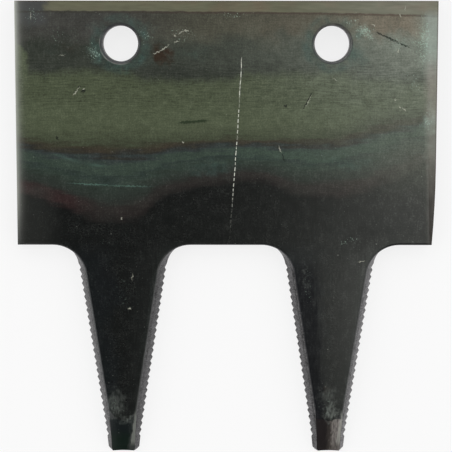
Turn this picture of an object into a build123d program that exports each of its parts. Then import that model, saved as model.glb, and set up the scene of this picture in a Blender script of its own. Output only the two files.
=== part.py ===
from build123d import *
from math import atan, hypot, radians, tan
import os

# Double guard finger of a reciprocating mower bar.
# It is one steel blanking: a flat plate with two bolt holes near its rear edge, and two tapered
# fingers that stand out of its front edge. The underside is the wide flat face. Above it the
# fingers narrow through sloping flanks, which carry a row of saw teeth along their lower edges.
#
# Frame: the origin is midway between the bolt holes on the flat underside. +X runs along the row
# of holes, -Y points to the finger tips and +Z points out of the upper face.

# Plate, in millimetres
FINGER_PITCH = 76.2  # three inches, for the fingers and the bolt holes alike
PLATE_WIDTH = 152.0  # two pitches, less a little play to the next guard
PLATE_THICKNESS = 6.0
REAR_EDGE_Y = 15.2
FRONT_EDGE_Y = -72.9
HOLE_DIAMETER = 12.8
CORNER_DRAW_IN = 1.1  # how far the shear drew one front corner in
CORNER_DRAW_LENGTH = 28.0

# Edges of the upper face, where the blanking punch drew the metal down
LEFT_ROLL_WIDTH = 3.4
LEFT_ROLL_DROP = 0.7
LEFT_ROLL_BULGE = 0.12  # how far the rolled edge bows out of a flat bevel
RIGHT_BEVEL_REAR_WIDTH = 4.7
RIGHT_BEVEL_FRONT_WIDTH = 1.9
RIGHT_BEVEL_FALL = 9.0  # degrees
REAR_BEVEL_LEFT_WIDTH = 4.2
REAR_BEVEL_RIGHT_WIDTH = 5.1
REAR_BEVEL_FALL = 4.5  # degrees
HOLE_ROLL_RADIUS = 0.9
FRONT_ROLL_RADIUS = 0.8

# Fingers
TIP_Y = -150.4
CREST_HALF_WIDTH = 17.45  # over the tooth crests, at the line of the front edge
LAND_HALF_WIDTH = 6.15  # the plain land between the last tooth and the tip
LAND_START_Y = -145.5
LAND_END_HALF_WIDTH = 5.7
LAND_END_Y = -149.5
END_HALF_WIDTH = 4.9
END_INSET_SHARE = 0.75  # the tip's corners lean in less than the flanks do
END_HOLLOW = 0.35
ROOT_RADIUS = 9.0
ROOT_OVERLAP = 6.0  # how far the finger's solid reaches into the plate
FLANK_RUN = 2.8  # how far a flank slopes inwards between the two faces

# Saw teeth
TOOTH_PITCH = 2.54  # ten teeth to the inch
TOOTH_COUNT = 26
TOOTH_DEPTH = 0.55
TOOTH_STEP = 0.7  # run of the steep side, which faces the plate
TOOTH_CREST = 0.2
GROOVE_HEIGHT = 4.0  # where the grooves run out on the flank

# Crowned relief on top of the tips
TIP_SLOPE = 12.0  # degrees
TIP_SLOPE_START_Y = -138.0
TIP_CROWN_RADIUS = 16.0

CUT_MARGIN = 3.0  # how far the cutting shapes reach past the metal

half_width = PLATE_WIDTH / 2
plate_length = REAR_EDGE_Y - FRONT_EDGE_Y
finger_centres = (-FINGER_PITCH / 2, FINGER_PITCH / 2)
edge_slope = (CREST_HALF_WIDTH - LAND_HALF_WIDTH) / (FRONT_EDGE_Y - LAND_START_Y)
edge_length_per_y = hypot(edge_slope, 1)
root_turn = radians(90) - atan(edge_slope)


def finger_sketch(centre_x, level, inset):
    """Outline of a finger at a level where its sides stand inset from the tooth crests.

    The root arcs start at the same points of the front edge whatever the inset, so the flanks
    grow out of the plate's upright edge.
    """
    corner_x = CREST_HALF_WIDTH - inset
    tangent = ROOT_RADIUS * tan(root_turn / 2) + inset
    arc_end = (
        corner_x - edge_slope * tangent / edge_length_per_y,
        FRONT_EDGE_Y - tangent / edge_length_per_y,
    )
    neck_x = corner_x + tangent
    end_x = END_HALF_WIDTH - END_INSET_SHARE * inset
    with BuildSketch(Plane((centre_x, 0, level))) as sketch:
        with BuildLine():
            joint = Line((0, FRONT_EDGE_Y + ROOT_OVERLAP), (neck_x, FRONT_EDGE_Y + ROOT_OVERLAP))
            neck = Line(joint @ 1, (neck_x, FRONT_EDGE_Y))
            root = TangentArc(neck @ 1, arc_end, tangent=(-1, 0))
            edge = Line(root @ 1, (LAND_HALF_WIDTH - inset, LAND_START_Y))
            land = Line(edge @ 1, (LAND_END_HALF_WIDTH - inset, LAND_END_Y))
            Line(land @ 1, (end_x, TIP_Y))
            mirror(about=Plane.YZ)
            ThreePointArc((end_x, TIP_Y), (0, TIP_Y + END_HOLLOW), (-end_x, TIP_Y))
        make_face()
    return sketch.sketch


def tooth_gap_sketch(centre_x, side):
    """The saw-tooth gaps along one lower edge of a finger, the steep step of each to the plate."""
    comb_length_y = TOOTH_COUNT * TOOTH_PITCH / edge_length_per_y
    middle_y = LAND_START_Y + comb_length_y / 2
    middle_x = centre_x + side * (LAND_HALF_WIDTH + edge_slope * comb_length_y / 2)
    along_edge = Plane((middle_x, middle_y, 0), x_dir=(-side * edge_slope, -1, 0), z_dir=(0, 0, side))
    with BuildSketch(along_edge) as sketch:
        with GridLocations(TOOTH_PITCH, 0, TOOTH_COUNT, 1):
            Polygon(
                (TOOTH_CREST - TOOTH_PITCH / 2, CUT_MARGIN),
                (TOOTH_CREST - TOOTH_PITCH / 2, 0),
                (TOOTH_PITCH / 2 - TOOTH_STEP, -TOOTH_DEPTH),
                (TOOTH_PITCH / 2, 0),
                (TOOTH_PITCH / 2, CUT_MARGIN),
                align=None,
            )
    return sketch.sketch


def bevel_plane(start, end, fall):
    """Plane through a crease of the upper face that falls away on the left of start to end."""
    crease = Vector(*end) - Vector(*start)
    outwards = Vector(0, 0, 1).cross(crease).normalized()
    slope = outwards - Vector(0, 0, tan(radians(fall)))
    return Plane((*start, PLATE_THICKNESS), x_dir=crease, z_dir=crease.cross(slope))


with BuildPart() as double_guard_finger:
    with BuildSketch():
        with Locations((0, (REAR_EDGE_Y + FRONT_EDGE_Y) / 2)):
            Rectangle(PLATE_WIDTH, plate_length)
        with BuildLine():
            drawn_edge = TangentArc(
                (half_width, FRONT_EDGE_Y + CORNER_DRAW_LENGTH),
                (half_width - CORNER_DRAW_IN, FRONT_EDGE_Y),
                tangent=(0, -1),
            )
            Polyline(drawn_edge @ 1, (half_width, FRONT_EDGE_Y), drawn_edge @ 0)
        make_face(mode=Mode.SUBTRACT)
    extrude(amount=PLATE_THICKNESS)

    for centre_x in finger_centres:
        lower_outline = finger_sketch(centre_x, 0, 0)
        upper_outline = finger_sketch(centre_x, PLATE_THICKNESS, FLANK_RUN)
        loft([lower_outline, upper_outline], ruled=True)

    upper_face = double_guard_finger.faces().sort_by(Axis.Z)[-1]
    front_edges = upper_face.edges().filter_by_position(Axis.Y, LAND_START_Y, FRONT_EDGE_Y + 0.1)
    fillet(front_edges, radius=FRONT_ROLL_RADIUS)

    # The upper face falls away in flat bevels at the rear and on the right, which meet in a
    # mitre at the corner, and in a rolled edge on the left.
    rear_bevel = bevel_plane(
        (-half_width, REAR_EDGE_Y - REAR_BEVEL_LEFT_WIDTH),
        (half_width, REAR_EDGE_Y - REAR_BEVEL_RIGHT_WIDTH),
        REAR_BEVEL_FALL,
    )
    right_bevel = bevel_plane(
        (half_width - RIGHT_BEVEL_REAR_WIDTH, REAR_EDGE_Y),
        (half_width - RIGHT_BEVEL_FRONT_WIDTH, FRONT_EDGE_Y),
        RIGHT_BEVEL_FALL,
    )
    split(bisect_by=rear_bevel, keep=Keep.BOTTOM)
    split(bisect_by=right_bevel, keep=Keep.BOTTOM)
    with BuildSketch(Plane.XZ.offset(-REAR_EDGE_Y)):
        with BuildLine():
            roll = SagittaArc(
                (-half_width, PLATE_THICKNESS - LEFT_ROLL_DROP),
                (LEFT_ROLL_WIDTH - half_width, PLATE_THICKNESS),
                LEFT_ROLL_BULGE,
            )
            Polyline(
                roll @ 1,
                ((roll @ 1).X, PLATE_THICKNESS + CUT_MARGIN),
                (-half_width - CUT_MARGIN, PLATE_THICKNESS + CUT_MARGIN),
                (-half_width - CUT_MARGIN, PLATE_THICKNESS - LEFT_ROLL_DROP),
                roll @ 0,
            )
        make_face()
    extrude(amount=plate_length, mode=Mode.SUBTRACT)

    # Bolt holes, rolled over where the punch went in
    with GridLocations(FINGER_PITCH, 0, 2, 1):
        Hole(HOLE_DIAMETER / 2)
    hole_rims = double_guard_finger.edges().filter_by(GeomType.CIRCLE)
    hole_rims = hole_rims.filter_by(lambda rim: abs(rim.radius - HOLE_DIAMETER / 2) < 0.01)
    fillet(hole_rims.group_by(Axis.Z)[-1], radius=HOLE_ROLL_RADIUS)

    # Crowned relief: the metal above a tilted cylinder is ground off each tip.
    for centre_x in finger_centres:
        slope_plane = Plane(
            (centre_x, TIP_SLOPE_START_Y, PLATE_THICKNESS),
            x_dir=(1, 0, 0),
            z_dir=(0, -1, -tan(radians(TIP_SLOPE))),
        )
        with BuildSketch(slope_plane):
            Rectangle(2 * LAND_HALF_WIDTH + CUT_MARGIN, 2 * CUT_MARGIN)
            with Locations((0, -TIP_CROWN_RADIUS)):
                Circle(TIP_CROWN_RADIUS, mode=Mode.SUBTRACT)
        extrude(amount=TIP_SLOPE_START_Y - TIP_Y + CUT_MARGIN, both=True, mode=Mode.SUBTRACT)

    # Saw teeth: the grooves lean inwards less than the flanks do, so they run out on them.
    groove_lean = (FLANK_RUN * GROOVE_HEIGHT / PLATE_THICKNESS - TOOTH_DEPTH) / GROOVE_HEIGHT
    for centre_x in finger_centres:
        for side in (-1, 1):
            extrude(
                tooth_gap_sketch(centre_x, side),
                amount=PLATE_THICKNESS,
                dir=(-side * groove_lean, 0, 1),
                mode=Mode.SUBTRACT,
            )

double_guard_finger.part.label = "double_guard_finger"
os.makedirs("parts", exist_ok=True)
export_step(double_guard_finger.part, "parts/double_guard_finger.step")
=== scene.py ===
"""Temper-coloured steel finish, studio floor, light and camera for the double guard finger.

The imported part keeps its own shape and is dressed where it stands. Lengths in the finish are
millimetres in the part's own frame: +X along the bolt holes, -Y to the finger tips, +Z out of
the upper face.
"""

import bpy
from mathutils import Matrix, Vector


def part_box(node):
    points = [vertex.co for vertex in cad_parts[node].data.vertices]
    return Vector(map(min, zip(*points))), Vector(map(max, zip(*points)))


bl_info = {
    "name": "Double Guard Finger Finish",
    "version": (1, 0, 0),
    "blender": (4, 5, 0),
    "location": "3D Viewport > Sidebar > Guard Finger",
    "description": "Dresses a double guard finger in temper-coloured steel and lights it",
    "category": "Material",
}

from math import atan2, cos, hypot, pi, radians, sin
from typing import NamedTuple

import bmesh
import bpy
from bpy.props import FloatProperty, FloatVectorProperty, PointerProperty

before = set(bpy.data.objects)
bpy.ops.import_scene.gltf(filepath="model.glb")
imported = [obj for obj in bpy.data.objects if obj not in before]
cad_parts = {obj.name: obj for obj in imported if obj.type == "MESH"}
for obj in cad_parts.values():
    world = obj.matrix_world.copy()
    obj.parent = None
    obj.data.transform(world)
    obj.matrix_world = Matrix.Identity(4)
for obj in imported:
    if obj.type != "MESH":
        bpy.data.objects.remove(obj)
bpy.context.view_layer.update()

NODE = "double_guard_finger"
PHOTO_WIDTH = 452  # pixels
MM_PER_METRE = 1000

# Places on the part, in millimetres
HALF_WIDTH, REAR_EDGE_Y, TOP_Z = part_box(NODE)[1] * MM_PER_METRE
FRONT_EDGE_Y = -72.9
LEFT_ROLL_WIDTH = 3.4
RIGHT_CREASE = ((71.3, REAR_EDGE_Y), (74.1, FRONT_EDGE_Y))  # ends of the right bevel's crease
HOLE_X = 38.1
HOLE_RADIUS = 6.4
HOLE_RIM_WIDTH = 1.0  # of the rolled rim, over the hole's wall
FINGER_X = 38.1
FINGER_TOP_HALF_WIDTH = 14.65  # of the upper face, at the line of the front edge
FINGER_TAPER = 0.1556  # half width that the upper face loses in a millimetre
TIP_SLOPE_START_Y = -138.0
BRIM_START = 0.55  # the line along an outer edge starts this far in from it
BRIM_FULL = 0.1
MARKS_FADE_DEPTH = 1.3  # marks start to fade this far under the upper face
MARKS_END_DEPTH = 1.6
MARK_SLIMNESS = 0.8  # half width of a mark's oval, as a share of the mark's width

# The long scratch crosses x = SCRATCH_X at the line of the holes, leans and bends
SCRATCH_X = 5.78
SCRATCH_LEAN = 0.0466
SCRATCH_BEND = 0.00026
SCRATCH_HALF_WIDTH = 0.22
SCRATCH_FRONT_Y = -71.5
SCRATCH_REAR_Y = -5.5
DASH_PITCH = 1.9

# Studio
FLOOR_GAP = 0.0002  # metres
FLOOR_GREY = 0.8
FLOOR_GLOW = 0.8  # share of plain white that a camera or a reflection sees
FLAG_START = 0.68  # cosine of the angle from the flag's middle to its soft edge
FLAG_FULL = 0.83  # the same, to where it is fully dark
FLAG_LEVEL = 0.01

# The Mix node's own numbers for its colour sockets
MIX_UNDER = 6
MIX_OVER = 7
MIX_RESULT = 2

# Pale film and painted reflection at the right edge, and a painted sheen, as middle and radii
BLOOM_AND_REFLECTION_PLACE = ((76, 3), (46, 28))
PAINTED_SHEEN_PLACE = ((80, -39), (32, 12))

# Borders of the films across the plate, as (x, y)
STRAW_LINE = (
    (-76, 11.5),
    (-10, 11.3),
    (30, 10.9),
    (76, 10.0),
)
SEAM_LINE = (
    (-76, -36.2),
    (-60, -38.8),
    (-46, -40.2),
    (-35, -39.8),
    (-21, -38.0),
    (-5, -36.2),
    (6, -35.9),
    (22, -36.6),
    (37, -36.6),
    (47, -34.4),
    (56, -31.5),
    (76, -26.8),
)
PLUM_LINE = (
    (-76, -50.7),
    (-60, -55.1),
    (-49, -59.5),
    (-42, -60.9),
    (-33, -59.5),
    (-25, -54.0),
    (-16, -50.7),
    (-3, -48.5),
    (11, -47.5),
    (22, -50.7),
    (28, -52.2),
    (43, -51.8),
    (55, -48.5),
    (65, -44.2),
    (76, -39.5),
)
SLATE_LINE = (
    (-76, -11.4),
    (-60, -11.0),
    (-52, -10.2),
    (-36, -10.4),
    (-28, -13.0),
    (0, -12.8),
    (8, -10.7),
    (38, -10.7),
    (63, -13.2),
    (76, -13.2),
)


class Mark(NamedTuple):
    """A short scratch or dent between two points of the upper face."""

    start: tuple
    end: tuple
    width: float
    strength: float

    def oval(self):
        """Middle, radii and turn of the long thin oval that the mark fills."""
        run_x = self.end[0] - self.start[0]
        run_y = self.end[1] - self.start[1]
        middle = ((self.start[0] + self.end[0]) / 2, (self.start[1] + self.end[1]) / 2)
        radii = (hypot(run_x, run_y) / 2 + self.width, self.width * MARK_SLIMNESS)
        return middle, radii, atan2(run_y, run_x)


class Patch(NamedTuple):
    """An oval place on the upper face, with its middle, its two radii and its strength."""

    middle: tuple
    radii: tuple
    strength: float

    def oval(self):
        """Middle, radii and turn of the patch."""
        return self.middle, self.radii, 0.0


DARK_MARKS = (
    Mark((53.6, 4.2), (58.0, 2.1), 0.32, 1.0),
    Mark((56.8, 2.7), (61.0, 0.8), 0.60, 1.0),
    Mark((60.2, 1.1), (66.4, -1.7), 0.32, 1.0),
    Mark((30.9, -17.2), (29.0, -21.2), 0.38, 0.8),
    Mark((29.2, -20.6), (27.7, -23.6), 0.38, 0.8),
    Mark((21.2, -22.3), (21.8, -22.1), 0.75, 0.6),
    Mark((-51.8, -17.1), (-51.2, -16.7), 0.9, 0.9),
    Mark((-53.6, -15.8), (-52.2, -15.2), 0.5, 0.5),
    Mark((-61.1, -33.4), (-60.9, -34.8), 0.4, 0.7),
    Mark((20.2, -39.6), (20.9, -42.0), 0.38, 0.8),
)
GREEN_MARKS = (
    Mark((-17.0, -28.4), (-11.0, -28.0), 0.85, 1.0),
    Mark((-12.6, -28.0), (-6.8, -27.7), 0.7, 1.0),
)
BRIGHT_MARKS = (
    Mark((-13.6, 4.4), (-15.1, 4.8), 0.38, 0.8),
    Mark((-14.9, 4.8), (-17.4, 3.1), 0.28, 0.7),
    Mark((-18.7, 2.9), (-18.3, 2.7), 0.45, 1.0),
    Mark((-16.9, 0.8), (-18.6, 0.5), 0.36, 0.9),
    Mark((-20.3, -0.3), (-24.5, -3.3), 0.28, 0.9),
    Mark((-23.5, -2.6), (-26.3, -3.8), 0.28, 0.7),
    Mark((-55.5, -18.9), (-52.6, -15.4), 0.28, 0.85),
    Mark((-51.4, -16.3), (-51.1, -16.1), 0.36, 1.0),
    Mark((-60.5, -4.4), (-57.7, -4.0), 0.34, 0.35),
    Mark((-70.0, 11.2), (-70.0, 8.3), 0.38, 0.5),
    Mark((61.8, -1.6), (61.7, -3.4), 0.36, 0.6),
    Mark((64.1, 13.6), (64.1, 11.6), 0.34, 0.4),
    Mark((61.8, 10.8), (62.4, 9.3), 0.34, 0.5),
    Mark((52.2, 6.7), (53.1, 6.4), 0.40, 0.9),
    Mark((60.6, -20.0), (61.2, -20.1), 0.42, 0.7),
    Mark((62.5, -22.6), (63.0, -23.0), 0.42, 0.7),
    Mark((63.6, -23.0), (64.7, -23.8), 0.36, 0.7),
    Mark((31.2, -17.4), (28.4, -23.2), 0.22, 0.5),
    Mark((18.8, -36.4), (20.0, -39.2), 0.30, 0.7),
    Mark((38.2, -12.2), (40.0, -13.4), 0.30, 0.6),
    Mark((-15.6, -35.4), (-15.3, -35.5), 0.40, 0.9),
    Mark((-38.1, -63.0), (-37.9, -63.3), 0.40, 0.8),
    Mark((48.0, -79.0), (50.8, -78.6), 0.36, 0.5),
    Mark((-33.9, -83.0), (-34.5, -86.2), 0.34, 0.5),
    Mark((-35.6, -96.4), (-35.0, -96.4), 0.46, 0.8),
)
FAINT_MARKS = (
    Mark((-60.5, -50.1), (-38.0, -51.3), 0.42, 0.9),
    Mark((-46.0, -51.1), (-24.0, -51.6), 0.42, 0.8),
    Mark((-66.0, -38.6), (-50.0, -43.6), 1.4, 0.4),
    Mark((-52.0, -43.2), (-42.0, -44.4), 1.2, 0.4),
)
SPECKLED = (
    Patch((-69.0, 10.0), (4.5, 4.5), 0.7),
    Patch((-60.0, 3.0), (12.0, 8.0), 0.35),
    Patch((-47.8, -3.0), (4.0, 4.5), 1.1),
    Patch((-29.0, 3.6), (4.0, 5.5), 0.7),
    Patch((-16.0, 2.5), (9.0, 4.5), 0.6),
    Patch((2.0, 9.9), (14.0, 0.9), 0.8),
    Patch((45.4, 8.0), (5.6, 2.0), 0.8),
    Patch((50.0, 4.2), (5.0, 3.6), 1.3),
    Patch((62.0, 1.0), (10.0, 6.0), 0.6),
    Patch((71.0, 1.0), (5.0, 14.0), 1.2),
    Patch((73.0, -27.5), (3.0, 6.0), 0.9),
    Patch((68.0, -14.0), (7.0, 9.0), 0.5),
    Patch((44.6, -71.2), (5.0, 1.8), 0.8),
    Patch((-45.0, -71.6), (5.0, 1.4), 0.5),
    Patch((-38.0, -90.0), (6.0, 14.0), 0.3),
    Patch((-40.0, -133.0), (5.0, 6.0), 0.25),
    Patch((30.4, -88.0), (1.2, 14.0), 0.4),
    Patch((37.5, -133.0), (6.0, 6.0), 0.3),
)
MINT_PATCHES = (
    Patch((73.4, -2.0), (6.0, 13.0), 0.5),
    Patch((74.0, -27.0), (4.0, 9.0), 0.7),
    Patch((74.5, -38.0), (5.0, 9.0), 0.35),
    Patch((48.8, 4.6), (5.0, 4.4), 0.6),
    Patch((62.4, -0.4), (7.0, 3.0), 0.4),
    Patch((-47.8, -3.4), (3.0, 4.0), 0.4),
)
TEAL_PATCHES = (
    Patch((-70.2, 8.6), (2.0, 4.2), 0.6),
    Patch((-62.0, -2.6), (5.0, 2.0), 0.35),
    Patch((-47.0, -3.6), (4.0, 5.0), 0.75),
    Patch((-47.0, 6.0), (5.0, 4.0), 0.5),
    Patch((-28.6, 5.6), (4.6, 4.2), 0.6),
    Patch((-28.4, -4.6), (4.4, 4.0), 0.8),
    Patch((-38.0, -9.0), (7.0, 1.8), 0.5),
    Patch((-12.0, -3.4), (11.0, 4.0), 0.35),
    Patch((29.4, -2.0), (3.6, 7.5), 0.5),
    Patch((48.6, -5.0), (4.6, 6.0), 0.6),
    Patch((-6.0, -45.0), (13.0, 4.0), 0.6),
    Patch((45.0, -43.0), (12.0, 3.4), 0.5),
)
BROWN_PATCHES = (
    Patch((-23.6, -4.2), (5.6, 4.4), 1.1),
    Patch((-56.5, -1.6), (5.0, 2.2), 0.3),
    Patch((36.0, -126.8), (3.5, 2.0), 0.35),
)
PALE_SMEARS = (
    Patch((-40.6, -132.0), (4.5, 8.5), 0.8),
    Patch((-36.6, -137.4), (3.8, 2.6), 0.8),
    Patch((38.8, -134.6), (3.6, 5.5), 1.3),
    Patch((38.0, -128.5), (6.0, 5.0), 0.6),
    Patch((28.8, -84.0), (1.4, 10.0), 0.5),
)


def tone(red, green, blue):
    """The scene-linear colour of a swatch given as eight-bit sRGB values."""
    linear = []
    for level in (red / 255, green / 255, blue / 255):
        if level <= 0.04045:
            linear.append(level / 12.92)
        else:
            linear.append(((level + 0.055) / 1.055) ** 2.4)
    return tuple(linear)


def swatch(name, description, red, green, blue):
    """A colour property with that swatch as its default."""
    return FloatVectorProperty(
        name=name,
        description=description,
        subtype="COLOR",
        size=3,
        min=0.0,
        max=1.0,
        default=tone(red, green, blue),
    )


def portion(name, description, default):
    """A property between 0 and 1."""
    return FloatProperty(
        name=name,
        description=description,
        subtype="FACTOR",
        min=0.0,
        max=1.0,
        default=default,
    )


class FilmSettings(bpy.types.PropertyGroup):
    """Colours that heat and weather left on the steel, and some painted reflection and shade."""

    straw: swatch("Straw", "Film on the rear bevel", 102, 102, 83)
    ruddy_straw: swatch("Ruddy straw", "Redder places of the rear bevel", 116, 100, 84)
    brown_crease: swatch("Brown crease", "Crease of the rear bevel, at the left", 52, 50, 40)
    red_crease: swatch("Red crease", "Crease of the rear bevel, at the right", 66, 48, 44)
    violet_grey: swatch("Violet grey", "Film on the rear left corner", 73, 75, 75)
    left_slate: swatch("Left slate", "Film behind the left bolt hole", 66, 66, 62)
    warm_slate: swatch("Warm slate", "Film behind the bolt holes", 67, 67, 57)
    cool_slate: swatch("Cool slate", "Film round and in front of the bolt holes", 54, 58, 51)
    olive: swatch("Olive", "Film behind the seam", 80, 88, 67)
    deep_olive: swatch("Deep olive", "Film just behind the seam", 65, 71, 54)
    dark_olive: swatch("Dark olive", "Last of the olive film before the seam", 57, 58, 45)
    tan: swatch("Tan", "Brown tinge just behind the seam", 60, 50, 40)
    seam: swatch("Seam", "Dark line where the olive film ends", 47, 47, 43)
    slate_blue: swatch("Slate blue", "Line in front of the seam", 48, 53, 54)
    teal: swatch("Teal", "Film in front of the seam", 54, 65, 57)
    bright_teal: swatch("Bright teal", "Clearest places of the teal film", 64, 86, 73)
    dark_teal: swatch("Dark teal", "Line that parts the teal film in two", 44, 53, 50)
    front_teal: swatch("Front teal", "Teal film in front of that line", 51, 63, 55)
    grey_green: swatch("Grey green", "Film between the teal and the plum", 46, 54, 48)
    dull_green: swatch("Dull green", "Film between the grey green and the umber", 43, 49, 44)
    umber: swatch("Umber", "Film where the plum is thin", 42, 41, 38)
    plum: swatch("Plum", "Film behind the blackened front", 51, 33, 33)
    black: swatch("Black oxide", "Film over the front and the fingers", 17, 19, 18)
    finger_blue: swatch("Finger blue", "Film on the left of each finger", 17, 22, 25)
    # Finger shade is painted shade, on the left of the right finger.
    finger_painted_shade: swatch("Finger shade", "Film on the left of the right finger", 14, 14, 19)
    # Bloom colours are pale film and painted reflection; the veil colour is a painted sheen.
    bloom_and_painted_reflection: swatch("Bloom", "Pale film at the rear right", 150, 157, 144)
    pink_bloom_and_painted_reflection: swatch("Pink bloom", "Pale film near the rear bevel, at the right", 145, 136, 120)
    painted_sheen: swatch("Veil", "Thin pale film in front of the seam at the right", 112, 117, 105)
    halo: swatch("Halo", "Teal rings round the bolt holes, and teal patches", 66, 92, 87)
    mint: swatch("Mint", "Pale green patches, most of them near the right edge", 158, 182, 168)
    rust: swatch("Rust", "Old rust beside the left bolt hole, and brown patches", 52, 37, 26)


class WearSettings(bpy.types.PropertyGroup):
    """Colours of rubbed, scratched, ground and cut steel, some also painted light and shade."""

    bare: swatch("Bare steel", "Steel where the film is rubbed off", 170, 173, 164)
    # The worn colours of the right bevel are bare steel and also a painted highlight.
    warm_worn_highlight: swatch("Warm worn", "Right bevel where it is rubbed, at the front", 160, 152, 144)
    cool_worn_highlight: swatch("Cool worn", "Right bevel where it is rubbed, at the rear", 160, 170, 162)
    rear_brim: swatch("Rear brim", "Line along the very rear edge", 74, 56, 50)
    right_brim: swatch("Right brim", "Line along the very right edge", 70, 54, 52)
    hole_rim: swatch("Hole rim", "Rolled rims of the bolt holes", 40, 37, 44)
    # Rim arc is a painted highlight on the rim of the left bolt hole.
    rim_painted_highlight: swatch("Rim arc", "Rubbed arc on the rim of the left bolt hole", 140, 140, 136)
    brushed: swatch("Brushed steel", "Ground steel of the right tip", 110, 105, 101)
    tip_umber: swatch("Tip umber", "Left edge of the right tip", 31, 27, 27)
    tip_brown: swatch("Tip brown", "Middle of the right tip", 58, 53, 49)
    blue_black: swatch("Blue black", "Ground slope of the left tip", 15, 22, 23)
    green_black: swatch("Green black", "End of the left tip", 13, 26, 20)
    # Tip grey is a painted reflection at the right edge of the left tip.
    tip_grey_reflection: swatch("Tip grey", "Right edge of the left tip", 50, 53, 51)
    sheared: swatch("Sheared steel", "Walls that the punch cut", 79, 78, 79)
    # Crest is painted shade at the foot of the finger walls.
    painted_foot_shade: swatch("Crest", "Foot of the walls, along the tooth crests", 30, 29, 31)
    bruise: swatch("Bruise", "Bottom of a dent", 30, 34, 30)
    green_stroke: swatch("Green stroke", "Short dark stroke on the olive film", 42, 54, 36)
    faint_stroke: swatch("Faint stroke", "Long faint strokes along the teal film", 120, 160, 148)
    scratch: swatch("Scratch", "Short bright scratches", 196, 196, 180)
    long_scratch: swatch("Long scratch", "The long broken scratch", 222, 224, 212)
    speck: swatch("Speck", "Pale green grit", 168, 194, 178)
    smear: swatch("Smear", "Pale smears on the fingers", 104, 109, 104)


class GlossSettings(bpy.types.PropertyGroup):
    """How the steel shines."""

    metallic: portion("Metallic", "Share of bare metal under the film", 0.15)
    roughness: portion("Roughness", "Roughness of the film, before its grain", 0.45)
    specular: portion("Specular level", "Strength of the film's own reflections", 0.1)
    coat: portion("Coat", "Weight of the oily sheen, before its grain", 0.92)
    coat_roughness: portion("Coat roughness", "Roughness of the oily sheen", 0.224)
    wall_loss: portion("Wall loss", "Coat weight that the cut walls lack", 0.82)
    shade_loss: portion("Shade loss", "Coat weight that the dark side of a finger lacks", 0.65)
    lip_loss: portion("Lip loss", "Coat weight that the rolled front edge lacks", 0.6)
    bump: portion("Bump", "Strength of the rolled and etched relief", 0.3)
    bump_height: FloatProperty(
        name="Bump height",
        description="Height of the rolled and etched relief",
        subtype="DISTANCE",
        unit="LENGTH",
        default=0.00008,
        precision=6,
    )


class StudioSettings(bpy.types.PropertyGroup):
    """Camera, light and floor."""

    camera_place: FloatVectorProperty(
        name="Camera place",
        description="Where the camera stands",
        subtype="TRANSLATION",
        unit="LENGTH",
        size=3,
        default=(-0.000113, -0.003353, 0.54804),
    )
    camera_tilt: FloatProperty(
        name="Camera tilt",
        description="How far the camera leans out of the vertical, towards the fingers",
        subtype="ANGLE",
        default=radians(6.58),
    )
    camera_roll: FloatProperty(
        name="Camera roll",
        description="How far the camera is turned about the vertical",
        subtype="ANGLE",
        default=radians(0.06),
    )
    focal_pixels: FloatProperty(
        name="Focal length",
        description="Focal length in pixels of the picture",
        default=1500.0,
        min=1.0,
    )
    sky_level: FloatProperty(
        name="Sky level",
        description="Strength of the soft light from all round",
        default=1.6,
        min=0.0,
    )
    flag_tilt: FloatProperty(
        name="Flag tilt",
        description="How far the dark flag in the sky leans out over the finger tips",
        subtype="ANGLE",
        default=radians(16),
    )
    softbox_place: FloatVectorProperty(
        name="Softbox place",
        description="Where the softbox hangs, high up on the right of the fingers",
        subtype="TRANSLATION",
        unit="LENGTH",
        size=3,
        default=(0.272, -0.284, 1.2),
    )
    softbox_size: FloatVectorProperty(
        name="Softbox size",
        description="Width and length of the softbox",
        subtype="XYZ",
        unit="LENGTH",
        size=2,
        default=(0.193, 0.229),
    )
    softbox_level: FloatProperty(
        name="Softbox level",
        description="Radiance of the softbox",
        default=4.2,
        min=0.0,
    )
    softbox_colour: FloatVectorProperty(
        name="Softbox colour",
        description="Colour of the softbox's light, white with a touch of yellow green",
        subtype="COLOR",
        size=3,
        min=0.0,
        max=1.0,
        default=(0.97, 1.0, 0.92),
    )
    floor_half: FloatProperty(
        name="Floor half width",
        description="Half the width of the floor",
        subtype="DISTANCE",
        unit="LENGTH",
        default=4.0,
    )


class Field:
    """A number that varies over the surface, used in formulas like a plain one."""

    def __init__(self, pattern, socket):
        self.pattern = pattern
        self.socket = socket

    def __add__(self, other):
        return self.pattern.math("ADD", self, other)

    def __sub__(self, other):
        return self.pattern.math("SUBTRACT", self, other)

    def __rsub__(self, other):
        return self.pattern.math("SUBTRACT", other, self)

    def __mul__(self, other):
        return self.pattern.math("MULTIPLY", self, other)

    def __truediv__(self, other):
        return self.pattern.math("DIVIDE", self, other)

    def __abs__(self):
        return self.pattern.math("ABSOLUTE", self)

    __radd__ = __add__


class NodeWriter:
    """Fills the node tree of a new material or world, from empty."""

    def __init__(self, owner):
        owner.use_nodes = True
        self.tree = owner.node_tree
        self.tree.nodes.clear()

    def feed(self, socket, value):
        """Links a field or socket to an input, or sets the input to a plain value."""
        if isinstance(value, Field):
            value = value.socket
        if isinstance(value, bpy.types.NodeSocket):
            self.tree.links.new(value, socket)
        elif socket.type == "RGBA":
            socket.default_value = (*value, 1)
        else:
            socket.default_value = value

    def node(self, kind, inputs, **settings):
        """A node with its settings made and its inputs fed."""
        node = self.tree.nodes.new(kind)
        for name, value in settings.items():
            setattr(node, name, value)
        for key, value in inputs.items():
            self.feed(node.inputs[key], value)
        return node

    def output(self, kind, inputs, key=0, **settings):
        """One output socket of a new node."""
        return self.node(kind, inputs, **settings).outputs[key]


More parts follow.
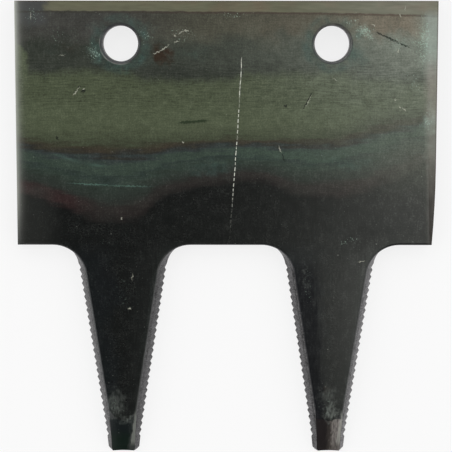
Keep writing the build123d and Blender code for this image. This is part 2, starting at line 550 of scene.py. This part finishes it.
class Pattern(NodeWriter):
    """Writes a material from formulas over the part's own coordinates."""

    def __init__(self, material):
        super().__init__(material)
        coordinates = self.node("ShaderNodeTexCoord", {}).outputs
        inputs = {0: coordinates["Object"], "Scale": MM_PER_METRE}
        self.place = self.output("ShaderNodeVectorMath", inputs, operation="SCALE")
        self.x, self.y, self.z = self.axes(self.place)
        self.normal_x, self.normal_y, self.normal_z = self.axes(coordinates["Normal"])
        self.upper = self.step(self.z, TOP_Z - MARKS_END_DEPTH, TOP_Z - MARKS_FADE_DEPTH)
        self.on_right = self.step(self.x, -1, 1)
        self.from_hole = self.length(abs(self.x) - HOLE_X, self.y)

    def axes(self, vector):
        """The three components of a vector, as fields."""
        split = self.node("ShaderNodeSeparateXYZ", {0: vector})
        return tuple(Field(self, socket) for socket in split.outputs)

    def math(self, operation, *values):
        """A field worked out from one to three values."""
        inputs = dict(enumerate(values))
        return Field(self, self.output("ShaderNodeMath", inputs, operation=operation))

    def step(self, value, start, end):
        """Rises smoothly from 0 at start to 1 at end, whichever is the larger."""
        inputs = {"Value": value, "From Min": start, "From Max": end}
        kind = "ShaderNodeMapRange"
        return Field(self, self.output(kind, inputs, interpolation_type="SMOOTHSTEP"))

    def within(self, value, low, high, soft):
        """1 between low and high, falling to 0 over the soft distance outside each."""
        return self.step(value, low - soft, low) * self.step(value, high + soft, high)

    def length(self, across, along):
        """Length of the vector with these two components."""
        return self.math("SQRT", across * across + along * along)

    def lumps(self, offset, size, stretch=(1, 1, 1)):
        """The place counted in lumps of that size, moved so that no two noises agree."""
        scale = tuple(1 / (size * factor) for factor in stretch)
        inputs = {"Vector": self.place, "Location": offset, "Scale": scale}
        return self.output("ShaderNodeMapping", inputs)

    def glow(self, middle, radii):
        """1 at the middle, fading away softly over the two radii."""
        reach = self.length((self.x - middle[0]) / radii[0], (self.y - middle[1]) / radii[1])
        return self.math("EXPONENT", reach * reach * -1.0)

    def noise(self, size, seed, detail=2.0, stretch=(1, 1, 1)):
        """Cloudy field between about -1 and 1, with lumps of that size."""
        lumps = self.lumps((seed, -seed, seed), size, stretch)
        inputs = {"Vector": lumps, "Scale": 1.0, "Detail": detail}
        return Field(self, self.output("ShaderNodeTexNoise", inputs)) * 2.0 - 1.0

    def line(self, points):
        """Height y over x of a smooth line through the points."""
        xs, ys = zip(*points)
        low = min(ys)
        high = max(ys)
        node = self.tree.nodes.new("ShaderNodeFloatCurve")
        curve = node.mapping.curves[0]
        knots = [((x - xs[0]) / (xs[-1] - xs[0]), (y - low) / (high - low)) for x, y in points]
        curve.points[0].location = knots[0]
        curve.points[1].location = knots[-1]
        for knot in knots[1:-1]:
            curve.points.new(*knot)
        node.mapping.update()
        self.feed(node.inputs["Value"], (self.x - xs[0]) / (xs[-1] - xs[0]))
        return Field(self, node.outputs[0]) * (high - low) + low

    def past(self, crease):
        """How far a point lies on the left of a straight crease, seen along it."""
        (start_x, start_y), (end_x, end_y) = crease
        length = hypot(end_x - start_x, end_y - start_y)
        across_x = (start_y - end_y) / length
        across_y = (end_x - start_x) / length
        return (self.x - start_x) * across_x + (self.y - start_y) * across_y

    def bands(self, value, stops):
        """Colours along a field: each stop is a value of the field and its colour."""
        low = stops[0][0]
        high = stops[-1][0]
        node = self.node("ShaderNodeValToRGB", {0: (value - low) / (high - low)})
        elements = node.color_ramp.elements
        elements[0].color = (*stops[0][1], 1)
        elements[1].color = (*stops[-1][1], 1)
        for place, colour in stops[1:-1]:
            elements.new((place - low) / (high - low)).color = (*colour, 1)
        return node.outputs["Color"]

    def mix(self, mask, under, over, blend="MIX"):
        """The colour over, laid on the colour under where the mask is 1."""
        inputs = {0: mask, MIX_UNDER: under, MIX_OVER: over}
        settings = {"data_type": "RGBA", "blend_type": blend, "clamp_factor": True}
        return self.output("ShaderNodeMix", inputs, key=MIX_RESULT, **settings)

    def gain(self, colour, factor):
        """The colour made brighter or darker by a factor that varies."""
        grey = self.output("ShaderNodeCombineXYZ", {0: factor, 1: factor, 2: factor})
        return self.mix(1.0, colour, grey, "MULTIPLY")

    def roughened(self, size, seed, shift):
        """The place on the flat, pushed about so that borders laid by it come out ragged."""
        lumps = self.lumps((seed, seed, seed), size)
        inputs = {"Vector": lumps, "Scale": 1.0, "Detail": 2.0}
        push = self.output("ShaderNodeTexNoise", inputs, key="Color")
        flat = {0: self.place, 1: (1, 1, 0), 2: (-shift, -shift, 0)}
        flat = self.output("ShaderNodeVectorMath", flat, operation="MULTIPLY_ADD")
        pushed = {0: push, 1: (2 * shift, 2 * shift, 0), 2: flat}
        return self.output("ShaderNodeVectorMath", pushed, operation="MULTIPLY_ADD")

    def inside(self, shapes, place):
        """How deep a point of the upper face lies in any mark or patch.

        It is the shape's strength at the middle of one, and 0 outside all of them.
        """
        depth = 0.0
        for shape in shapes:
            middle, radii, turn = shape.oval()
            inputs = {
                "Vector": place,
                "Location": (*middle, 0),
                "Rotation": (0, 0, turn),
                "Scale": (*radii, 1),
            }
            local = self.output("ShaderNodeMapping", inputs, vector_type="TEXTURE")
            settings = {"key": "Fac", "gradient_type": "SPHERICAL"}
            share = Field(self, self.output("ShaderNodeTexGradient", {0: local}, **settings))
            depth = self.math("MAXIMUM", share * shape.strength, depth)
        return depth * self.upper


def temper_bands(pattern, film):
    """The heat-tint bands of the plate, from olive over teal and plum to black."""
    seam_y = pattern.line(SEAM_LINE)
    plum_y = pattern.line(PLUM_LINE)
    drift = pattern.noise(9, 3.1) + pattern.noise(2, 8.7) * 0.5
    depth = (seam_y - pattern.y + drift) / (seam_y - plum_y)
    streaks = pattern.noise(1.5, 4.8, detail=3.0, stretch=(8, 1, 1))
    stops = (
        (-1.60, film.olive),
        (-0.55, film.olive),
        (-0.20, film.deep_olive),
        (-0.10, film.dark_olive),
        (0.00, film.seam),
        (0.08, film.slate_blue),
        (0.20, film.teal),
        (0.32, film.teal),
        (0.40, film.dark_teal),
        (0.50, film.front_teal),
        (0.64, film.grey_green),
        (0.78, film.dull_green),
        (0.92, film.umber),
        (0.98, film.umber),
        (1.24, film.black),
        (2.00, film.black),
    )
    calm = pattern.step(depth, 0.9, 0.5) * 0.16 + 0.06
    steel = pattern.bands(depth + streaks * calm, stops)
    rightwards = pattern.step(pattern.x, -20, 60)
    teal = pattern.within(depth + streaks * 0.3, 0.14, 0.34, 0.14) * (rightwards * 0.7 + 0.3)
    steel = pattern.mix(teal * 0.45, steel, film.bright_teal)
    leftwards = pattern.step(pattern.x, -42, -60) * 0.75 + 0.2
    leftwards = leftwards + pattern.step(pattern.x, 25, 60) * 0.3
    patchy = pattern.step(pattern.noise(9, 2.4, detail=3.0, stretch=(1.6, 1, 1)), -0.3, 0.35)
    plum = pattern.within(depth + streaks * 0.15, 0.96, 1.10, 0.18) * leftwards
    steel = pattern.mix(plum * (patchy * 0.55 + 0.3), steel, film.plum)
    brown = pattern.within(depth + streaks * 0.12, -0.11, -0.06, 0.07)
    return pattern.mix(brown * (patchy * 0.4 + 0.15), steel, film.tan)


def slate_zone(pattern, film, steel):
    """The darker film round the bolt holes, warm behind them and cool in front."""
    drift = pattern.noise(9, 1.9) * 2.4 + pattern.noise(2.2, 6.6, detail=3.0) * 1.4
    cloud = pattern.noise(7, 5.3, detail=5.0, stretch=(1.5, 1, 1))
    warmth = pattern.step(pattern.y + cloud * 7.0 + drift, -2.0, 5.0)
    warm = pattern.mix(pattern.step(pattern.x, -50, -5), film.left_slate, film.warm_slate)
    slate = pattern.mix(warmth, film.cool_slate, warm)
    lit = pattern.within(pattern.x, -20, 20, 22.0) * pattern.within(pattern.y, -5, 3, 5.0)
    lit = lit + pattern.step(pattern.x, -25, 5) * pattern.step(pattern.y, 2, 8)
    slate = pattern.gain(slate, cloud * 0.3 + lit * 0.24 + 1.0)
    front = pattern.y - pattern.line(SLATE_LINE)
    mask = pattern.step(front + drift, -3.0, 2.4)
    inside = -HALF_WIDTH + LEFT_ROLL_WIDTH
    rear = pattern.step(pattern.y, -3, 3) * 6.0
    left_end = pattern.step(pattern.x + drift + rear, inside - 0.5, inside + 2.0)
    return pattern.mix(mask * left_end, steel, slate)


def hole_halos(pattern, film, steel):
    """Blue-green rings that the heat left round the bolt holes, and patches near them."""
    patchy = pattern.step(pattern.noise(3.5, 6.4, detail=3.0), -0.6, 0.7)
    halo = pattern.within(pattern.from_hole, HOLE_RADIUS + 1.2, HOLE_RADIUS + 3.0, 2.4)
    steel = pattern.mix(halo * patchy * 0.55, steel, film.halo)
    ragged = pattern.roughened(2.5, 3.9, 4.0)
    teal = pattern.step(pattern.inside(TEAL_PATCHES, ragged), 0.0, 0.8)
    steel = pattern.mix(teal * (patchy * 0.5 + 0.1), steel, film.halo)
    mint = pattern.step(pattern.inside(MINT_PATCHES, ragged), 0.0, 0.9)
    steel = pattern.mix(mint * (patchy * 0.5 + 0.25), steel, film.mint)
    brown = pattern.step(pattern.inside(BROWN_PATCHES, ragged), 0.0, 0.8)
    return pattern.mix(brown * 0.85, steel, film.rust)


def pale_film_and_painted_reflection(pattern, film, steel):
    """Pale film and painted reflection from the right edge, with a painted sheen in front."""
    cloud = pattern.noise(5, 7.1, detail=4.0)
    # Painted reflection: the pale film fades out from the rear right like reflected light.
    bloom_and_painted_reflection = pattern.glow(*BLOOM_AND_REFLECTION_PLACE)
    warm = pattern.step(pattern.y + cloud * 6.0, 0.0, 6.5) * pattern.step(pattern.x, 74, 64)
    tint = pattern.mix(warm, film.bloom_and_painted_reflection, film.pink_bloom_and_painted_reflection)
    share = bloom_and_painted_reflection * 0.62 * (cloud * 0.4 + 1.0)
    steel = pattern.mix(share, steel, tint)
    # Painted sheen: a thin pale film in front of the seam at the right.
    painted_sheen = pattern.glow(*PAINTED_SHEEN_PLACE)
    return pattern.mix(painted_sheen * 0.4 * (cloud * 0.4 + 1.0), steel, film.painted_sheen)


def rear_strip(pattern, film, wear, steel):
    """The straw film of the rear bevel, with a dark line along its crease."""
    behind = pattern.y - pattern.line(STRAW_LINE)
    wobble = pattern.noise(3, 2.2, detail=4.0) * 0.4
    corner = pattern.step(pattern.x + pattern.noise(3, 5.2) * 2.0, -62.5, -66.5)
    near = pattern.step(pattern.y + wobble * 4.0, 4.5, 8.5)
    steel = pattern.mix(corner * near * 0.7, steel, film.violet_grey)
    on_bevel = pattern.step(behind + wobble, -0.15, 0.35) * (1.0 - corner)
    rub = pattern.step(pattern.x, 10, 70) * 0.22
    blotch = pattern.noise(6, 8.3, detail=3.0, stretch=(2, 1, 1))
    ruddy = pattern.step(blotch, -0.1, 0.4) * (pattern.step(pattern.x, -40, 20) * 0.4 + 0.2)
    straw = pattern.mix(ruddy, film.straw, film.ruddy_straw)
    straw = pattern.mix(rub, straw, wear.bare)
    straw = pattern.gain(straw, pattern.noise(1.0, 1.7, detail=4.0, stretch=(6, 1, 1)) * 0.3 + 1.0)
    steel = pattern.mix(on_bevel, steel, straw)
    crease = pattern.step(abs(behind + wobble + 0.25), 0.62, 0.1)
    reddish = pattern.step(pattern.x, -60, 0)
    line = pattern.mix(reddish, film.brown_crease, film.red_crease)
    steel = pattern.mix(crease * 0.5, steel, line)
    brim = pattern.step(pattern.y, REAR_EDGE_Y - BRIM_START, REAR_EDGE_Y - BRIM_FULL)
    return pattern.mix(brim * 0.6, steel, wear.rear_brim)


def side_edges_with_painted_highlights(pattern, wear, steel):
    """The rolled left edge and the right bevel, rubbed bare towards the rear; partly painted
    highlight.
    """
    grain = pattern.noise(1.4, 5.9, detail=4.0, stretch=(1, 3, 1))
    # Painted highlight: a pale band along the rolled left edge, fading towards the front.
    left = pattern.math("EXPONENT", (pattern.x + grain * 0.4 + HALF_WIDTH) * -0.95)
    left_highlight_fade = pattern.step(pattern.y, -76, -52) * 0.76 + pattern.step(pattern.y, -12, 2) * 0.24
    steel = pattern.mix(left * left_highlight_fade * (grain * 0.3 + 1.0), steel, wear.bare)
    haze = pattern.step(pattern.x, -58, -70) * pattern.within(pattern.y, -76, -54, 6.0)
    steel = pattern.mix(haze * 0.03, steel, wear.bare)
    # Painted highlight: a pale band on the right bevel, partly bare worn steel.
    outside = pattern.past(RIGHT_CREASE)
    right = pattern.step(outside + grain * 0.8, -2.0, 1.4) * pattern.step(pattern.y, 13, 9)
    right_highlight_fade = pattern.step(pattern.y, -80, 4) * 0.38 + 0.10
    worn = pattern.mix(pattern.step(pattern.y, -14, 0), wear.warm_worn_highlight, wear.cool_worn_highlight)
    steel = pattern.mix(right * right_highlight_fade * (grain * 0.4 + 1.0), steel, worn)
    brim = pattern.step(pattern.x, HALF_WIDTH - BRIM_START, HALF_WIDTH - BRIM_FULL)
    return pattern.mix(brim * 0.6, steel, wear.right_brim)


def hole_rims(pattern, wear, steel):
    """The dark rolled rim of each bolt hole, with a pale arc, a painted highlight, on the left one.
    """
    beyond_rim = pattern.from_hole - (HOLE_RADIUS + HOLE_RIM_WIDTH)
    broken = pattern.step(pattern.noise(2.4, 4.6, detail=3.0), -0.7, 0.4)
    rim = pattern.step(beyond_rim, 0.25, -0.25)
    steel = pattern.mix(rim * (broken * 0.45 + 0.3), steel, wear.hole_rim)
    # Painted highlight: a pale arc on the left of the left hole's rim.
    left_side = pattern.step(pattern.x + pattern.y, -40.0, -44.5)
    arc = pattern.step(abs(beyond_rim), 0.35, 0.1) * left_side
    return pattern.mix(arc * broken * 0.6, steel, wear.rim_painted_highlight)


def finger_tone(pattern, film, steel):
    """The fingers' black film, blue at the left and a painted reflection at the right of each.

    Also gives the place across a finger, from -1 at the left of its upper face to 1 at the
    right, and the mask of the painted shade on the right finger.
    """
    centre = pattern.on_right * (2 * FINGER_X) - FINGER_X
    half_top = pattern.y * FINGER_TAPER + (FINGER_TOP_HALF_WIDTH - FRONT_EDGE_Y * FINGER_TAPER)
    across = (pattern.x - centre) / half_top
    on_finger = pattern.step(pattern.y, FRONT_EDGE_Y + 3, FRONT_EDGE_Y - 6)
    streaks = pattern.noise(0.7, 7.4, detail=3.0, stretch=(1, 14, 1))
    # Painted reflection: each finger grows lighter towards its right, most at the right edge.
    finger_painted_reflection = pattern.step(across + streaks * 0.6, 0.1, 0.9) * 0.5
    finger_painted_reflection = finger_painted_reflection + pattern.step(across + streaks * 0.3, 0.8, 1.0) * 1.2
    steel = pattern.gain(steel, 1.0 + finger_painted_reflection * on_finger)
    blue = pattern.step(across + pattern.noise(9, 6.9) * 0.8, 0.1, -0.8)
    steel = pattern.mix(blue * on_finger * 0.6, steel, film.finger_blue)
    # Painted shade: the left of the right finger is darkened.
    painted_shade = pattern.step(across + streaks * 0.4, -0.15, -0.62) * pattern.on_right * 0.88
    painted_shade = painted_shade * pattern.within(pattern.y, -142, -86, 10.0)
    steel = pattern.mix(painted_shade * 0.7, steel, film.finger_painted_shade)
    return steel, across, painted_shade


def ground_tips(pattern, wear, steel, across):
    """The ground relief of the tips: blue-black on the left finger, brushed on the right.

    Each tip is painted lighter towards its right edge, with a painted glint, as a reflection.
    Also gives how much sheen the grinding took away.
    """
    sunk = pattern.step(pattern.z, TOP_Z - 0.02, TOP_Z - 0.12)
    relief = sunk * pattern.step(pattern.y, TIP_SLOPE_START_Y + 0.6, TIP_SLOPE_START_Y)
    relief = relief * pattern.step(pattern.z, 1.5, 2.3)
    brushing = pattern.noise(0.45, 2.9, detail=3.0, stretch=(1, 14, 1))
    edge = across + brushing * 0.45 + pattern.noise(2.4, 7.2, detail=3.0) * 0.35
    green = pattern.step(pattern.y, -141, -146)
    dark = pattern.mix(green, wear.blue_black, wear.green_black)
    # Painted reflection: the left tip turns grey towards its right edge.
    dark = pattern.mix(pattern.step(edge, 0.5, 1.0), dark, wear.tip_grey_reflection)
    umber = pattern.mix(pattern.step(edge, -0.4, 0.2), wear.tip_umber, wear.tip_brown)
    bright = pattern.gain(wear.brushed, brushing * 1.3 + 1.0)
    fade = pattern.step(pattern.y, -149.5, -144.0) * 0.55 + 0.45
    # Partly painted reflection: the right tip turns brushed bright towards its right edge.
    ground = pattern.mix(pattern.step(edge, 0.0, 0.5) * fade, umber, bright)
    steel = pattern.mix(relief, steel, pattern.mix(pattern.on_right, dark, ground))
    # Painted highlight: a pale glint along the right edge of each tip.
    painted_tip_glint = pattern.step(across + brushing * 0.2, 0.84, 0.96)
    painted_tip_glint = painted_tip_glint * pattern.within(pattern.y, -146, -137, 3.0)
    dull = (1.0 - pattern.on_right) * 0.6
    dull = dull + pattern.on_right * pattern.step(across, -0.1, -0.6) * 0.6
    return pattern.mix(painted_tip_glint * 0.3, steel, wear.bare), relief * dull


def cut_walls(pattern, wear, steel):
    """The plate's cut edges, finger flanks and hole walls, with painted light and shade, and where
    they are.
    """
    upright = pattern.step(pattern.normal_z, 0.72, 0.5) * pattern.step(pattern.normal_z, -0.8, -0.5)
    tears = pattern.noise(0.5, 4.4, detail=4.0, stretch=(1, 1, 5))
    blotch = pattern.noise(2.5, 7.9, detail=4.0)
    # Painted reflection: walls darker towards the top, and a painted dark band under the upper
    # face.
    height = pattern.step(pattern.z, 2.0, TOP_Z)
    painted_dark_band = pattern.within(pattern.z + blotch, 4.2, 4.7, 0.5)
    level = 1.0 + tears * 1.4 + blotch * 0.6 - height * 0.4 - painted_dark_band * 0.3
    to_left = pattern.step(pattern.normal_x, 0.2, -0.2)
    front = pattern.step(pattern.y, FRONT_EDGE_Y + 1, FRONT_EDGE_Y - 3)
    # Painted light and shade: outer finger flanks lighter, flanks facing each other darker.
    painted_side_light = to_left * (0.35 - pattern.on_right * 0.15)
    painted_side_light = painted_side_light + (1.0 - to_left) * pattern.on_right * 0.6
    wall = pattern.gain(wear.sheared, level * (1.0 + painted_side_light * front))
    # Painted shade: dark at the foot of the finger walls, along the tooth crests.
    painted_foot_shade = pattern.step(pattern.z + tears * 1.2, 0.9, 0.1) * front
    wall = pattern.mix(painted_foot_shade * 0.6, wall, wear.painted_foot_shade)
    return pattern.mix(upright, steel, wall), upright


def long_scratch(pattern):
    """The long broken scratch that runs from between the holes to the front edge."""
    y = pattern.y
    course = SCRATCH_X + y * SCRATCH_LEAN - y * y * SCRATCH_BEND
    course = course + pattern.noise(6, 8.8) * 0.25
    near = pattern.step(abs(pattern.x - course), SCRATCH_HALF_WIDTH, 0.05)
    dash_phase = y * (2 * pi / DASH_PITCH) + pattern.noise(4, 7.7) * 4.0
    dash = pattern.step(pattern.math("SINE", dash_phase), -0.75, -0.1)
    solid = pattern.step(y, -24, -16)
    extent = pattern.within(y, SCRATCH_FRONT_Y, SCRATCH_REAR_Y, 0.8)
    fade = pattern.step(y, -64, -46) * 0.85 + 0.1
    bright = pattern.step(pattern.noise(1.2, 4.2, stretch=(1, 2, 1)), -0.1, 0.08) * 0.75 + 0.25
    return near * pattern.math("MAXIMUM", dash, solid) * extent * fade * bright


def worn_marks(pattern, wear, steel):
    """Scratches, dents and specks of the upper face."""
    ragged = pattern.roughened(0.8, 9.2, 0.7)
    strokes = (
        (FAINT_MARKS, 0.8, 0.3, wear.faint_stroke),
        (GREEN_MARKS, 0.4, 0.9, wear.green_stroke),
        (DARK_MARKS, 0.4, 0.85, wear.bruise),
        (BRIGHT_MARKS, 0.5, 0.6, wear.scratch),
    )
    for marks, full_depth, strength, colour in strokes:
        mask = pattern.step(pattern.inside(marks, ragged), 0.0, full_depth)
        steel = pattern.mix(mask * strength, steel, colour)
    smudged = pattern.roughened(1.6, 1.8, 4.0)
    smears = pattern.step(pattern.inside(PALE_SMEARS, smudged), 0.0, 1.1)
    dust = pattern.noise(0.6, 2.2, detail=4.0, stretch=(1, 3, 1)) * 1.1 + 0.5
    steel = pattern.mix(smears * dust, steel, wear.smear)
    density = pattern.inside(SPECKLED, smudged)
    grit = pattern.noise(0.5, 3.7, detail=2.0) + density * 0.45
    specks = pattern.step(grit, 0.38, 0.72) * pattern.step(density, 0.02, 0.3)
    steel = pattern.mix(specks * 0.55, steel, wear.speck)
    stray = pattern.step(pattern.noise(0.7, 6.2, detail=1.0), 0.50, 0.70)
    steel = pattern.mix(stray * pattern.upper * 0.35, steel, wear.bare)
    scratch = long_scratch(pattern) * pattern.upper
    return pattern.mix(scratch, steel, wear.long_scratch)


def tempered_steel(film, wear, gloss):
    """The whole finish of the part: heat tints, handling marks and cut edges."""
    material = bpy.data.materials.new("tempered_steel")
    pattern = Pattern(material)
    steel = temper_bands(pattern, film)
    steel = slate_zone(pattern, film, steel)
    steel = pale_film_and_painted_reflection(pattern, film, steel)
    steel = hole_halos(pattern, film, steel)
    steel, across, painted_shade = finger_tone(pattern, film, steel)
    rolling = pattern.noise(0.5, 6.1, detail=4.0, stretch=(9, 1, 1))
    weave = pattern.noise(0.5, 2.7, detail=4.0, stretch=(1, 7, 1))
    grain = pattern.noise(0.5, 3.3, detail=3.0)
    mottle = pattern.noise(3.5, 1.3, detail=5.0)
    lined = pattern.within(pattern.y, -22, -9, 6.0) * 0.35 + 0.25
    level = mottle * 0.28 + rolling * lined + weave * 0.18 + grain * 0.45 + 1.0
    level = level - pattern.within(pattern.y, -20, -12, 4.0) * 0.10
    steel = pattern.gain(steel, level)
    bleak = pattern.step(grain + weave * 0.5 + mottle * 0.4, 0.0, 0.7)
    steel = pattern.mix(bleak * pattern.upper * 0.035, steel, wear.bare)
    steel = rear_strip(pattern, film, wear, steel)
    steel = side_edges_with_painted_highlights(pattern, wear, steel)
    steel = hole_rims(pattern, wear, steel)
    steel, tip_dull = ground_tips(pattern, wear, steel, across)
    steel = worn_marks(pattern, wear, steel)
    steel, wall = cut_walls(pattern, wear, steel)
    front = pattern.step(pattern.y, -56, -70) * pattern.step(pattern.y, -80, -72)
    dull = front * pattern.step(pattern.x, 33, 58) * 0.26 + tip_dull
    texture = weave * 0.3 + mottle * 0.2 + grain * 0.15
    lip = pattern.step(pattern.normal_y, -0.25, -0.45) * (1.0 - wall)
    coat = gloss.coat + texture - wall * gloss.wall_loss - painted_shade * gloss.shade_loss
    coat = coat - dull - lip * gloss.lip_loss
    height = rolling * 0.25 + grain * 0.5
    inputs = {"Height": height, "Strength": gloss.bump, "Distance": gloss.bump_height}
    relief = pattern.output("ShaderNodeBump", inputs)
    inputs = {
        "Base Color": steel,
        "Metallic": gloss.metallic,
        "Roughness": gloss.roughness + grain * 0.16 + mottle * 0.16,
        "Specular IOR Level": gloss.specular,
        "Normal": relief,
        "Coat Weight": coat,
        "Coat Roughness": gloss.coat_roughness,
    }
    shader = pattern.output("ShaderNodeBsdfPrincipled", inputs)
    pattern.node("ShaderNodeOutputMaterial", {"Surface": shader})
    return material


class OBJECT_OT_dress_guard_finger(bpy.types.Operator):
    """Give the double guard finger its temper-coloured steel"""

    bl_idname = "object.dress_guard_finger"
    bl_label = "Dress Guard Finger"

    def execute(self, context):
        scene = context.scene
        steel = tempered_steel(scene.film_settings, scene.wear_settings, scene.gloss_settings)
        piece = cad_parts[NODE]
        piece.data.materials.clear()
        piece.data.materials.append(steel)
        return {"FINISHED"}


def white_floor_material():
    """White floor that keeps a faint shadow of the part."""
    material = bpy.data.materials.new("studio_floor")
    writer = NodeWriter(material)
    lit = writer.output("ShaderNodeBsdfDiffuse", {"Color": (FLOOR_GREY,) * 3})
    glow = writer.output("ShaderNodeEmission", {"Color": (1, 1, 1)})
    path = writer.node("ShaderNodeLightPath", {}).outputs
    inputs = {0: path["Is Camera Ray"], 1: path["Is Glossy Ray"]}
    seen = writer.output("ShaderNodeMath", inputs, operation="MAXIMUM")
    share = writer.output("ShaderNodeMath", {0: seen, 1: FLOOR_GLOW}, operation="MULTIPLY")
    mixed = writer.output("ShaderNodeMixShader", {0: share, 1: lit, 2: glow})
    writer.node("ShaderNodeOutputMaterial", {"Surface": mixed})
    return material


def lay_floor(studio):
    """A wide white floor just under the part."""
    mesh = bpy.data.meshes.new("studio_floor")
    surface = bmesh.new()
    bmesh.ops.create_grid(surface, x_segments=1, y_segments=1, size=studio.floor_half)
    bmesh.ops.translate(surface, verts=surface.verts, vec=(0, 0, -FLOOR_GAP))
    surface.to_mesh(mesh)
    surface.free()
    floor = bpy.data.objects.new("studio_floor", mesh)
    bpy.context.scene.collection.objects.link(floor)
    mesh.materials.append(white_floor_material())


def light_sky(studio):
    """Soft light from all round, dark over the fingers, and plain white to the camera."""
    world = bpy.data.worlds.new("studio_sky")
    bpy.context.scene.world = world
    writer = NodeWriter(world)
    direction = writer.output("ShaderNodeTexCoord", {}, key="Generated")
    inputs = {0: direction, 1: (0, -sin(studio.flag_tilt), cos(studio.flag_tilt))}
    towards_flag = writer.node("ShaderNodeVectorMath", inputs, operation="DOT_PRODUCT")
    ramp = writer.node("ShaderNodeValToRGB", {0: towards_flag.outputs["Value"]})
    open_sky, flag = ramp.color_ramp.elements
    open_sky.position = FLAG_START
    open_sky.color = (1, 1, 1, 1)
    flag.position = FLAG_FULL
    flag.color = (FLAG_LEVEL, FLAG_LEVEL, FLAG_LEVEL, 1)
    inputs = {"Color": ramp.outputs["Color"], "Strength": studio.sky_level}
    sky = writer.output("ShaderNodeBackground", inputs)
    backdrop = writer.output("ShaderNodeBackground", {"Color": (1, 1, 1)})
    seen = writer.output("ShaderNodeLightPath", {}, key="Is Camera Ray")
    mixed = writer.output("ShaderNodeMixShader", {0: seen, 1: sky, 2: backdrop})
    writer.node("ShaderNodeOutputWorld", {"Surface": mixed})


def hang_softbox(studio):
    """A softbox overhead on the right, facing straight down."""
    width, length = studio.softbox_size
    light = bpy.data.lights.new("right_softbox", "AREA")
    light.shape = "RECTANGLE"
    light.size = width
    light.size_y = length
    light.color = studio.softbox_colour
    light.energy = pi * studio.softbox_level * width * length
    lamp = bpy.data.objects.new("right_softbox", light)
    lamp.location = studio.softbox_place
    lamp.visible_camera = False
    bpy.context.scene.collection.objects.link(lamp)


def place_camera(studio):
    """The camera over the plate, leaning a little towards the fingers."""
    lens = bpy.data.cameras.new("studio_camera")
    lens.sensor_fit = "HORIZONTAL"
    lens.lens = lens.sensor_width * studio.focal_pixels / PHOTO_WIDTH
    camera = bpy.data.objects.new("studio_camera", lens)
    camera.location = studio.camera_place
    camera.rotation_euler = (-studio.camera_tilt, 0, studio.camera_roll)
    bpy.context.scene.collection.objects.link(camera)
    bpy.context.scene.camera = camera


class SCENE_OT_build_guard_finger_studio(bpy.types.Operator):
    """Lay the white floor and set up the light and the camera"""

    bl_idname = "scene.build_guard_finger_studio"
    bl_label = "Build Studio"

    def execute(self, context):
        studio = context.scene.studio_settings
        lay_floor(studio)
        light_sky(studio)
        hang_softbox(studio)
        place_camera(studio)
        context.scene.view_settings.view_transform = "Standard"
        return {"FINISHED"}


class VIEW3D_PT_guard_finger(bpy.types.Panel):
    """Finish and studio of the guard finger"""

    bl_label = "Guard Finger"
    bl_idname = "VIEW3D_PT_guard_finger"
    bl_space_type = "VIEW_3D"
    bl_region_type = "UI"
    bl_category = "Guard Finger"

    def draw(self, context):
        layout = self.layout
        layout.operator(OBJECT_OT_dress_guard_finger.bl_idname)
        layout.operator(SCENE_OT_build_guard_finger_studio.bl_idname)
        for name, group in SETTINGS.items():
            box = layout.box()
            for field in group.__annotations__:
                box.prop(getattr(context.scene, name), field)


SETTINGS = {
    "film_settings": FilmSettings,
    "wear_settings": WearSettings,
    "gloss_settings": GlossSettings,
    "studio_settings": StudioSettings,
}
CLASSES = (
    *SETTINGS.values(),
    OBJECT_OT_dress_guard_finger,
    SCENE_OT_build_guard_finger_studio,
    VIEW3D_PT_guard_finger,
)


def register():
    """Add the classes to Blender and the settings to its scenes."""
    for cls in CLASSES:
        bpy.utils.register_class(cls)
    for name, group in SETTINGS.items():
        setattr(bpy.types.Scene, name, PointerProperty(type=group))


def unregister():
    """Take out all that register added."""
    for name in SETTINGS:
        delattr(bpy.types.Scene, name)
    for cls in reversed(CLASSES):
        bpy.utils.unregister_class(cls)


def main():
    """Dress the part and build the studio."""
    register()
    bpy.ops.object.dress_guard_finger()
    bpy.ops.scene.build_guard_finger_studio()


if __name__ == "__main__":
    main()
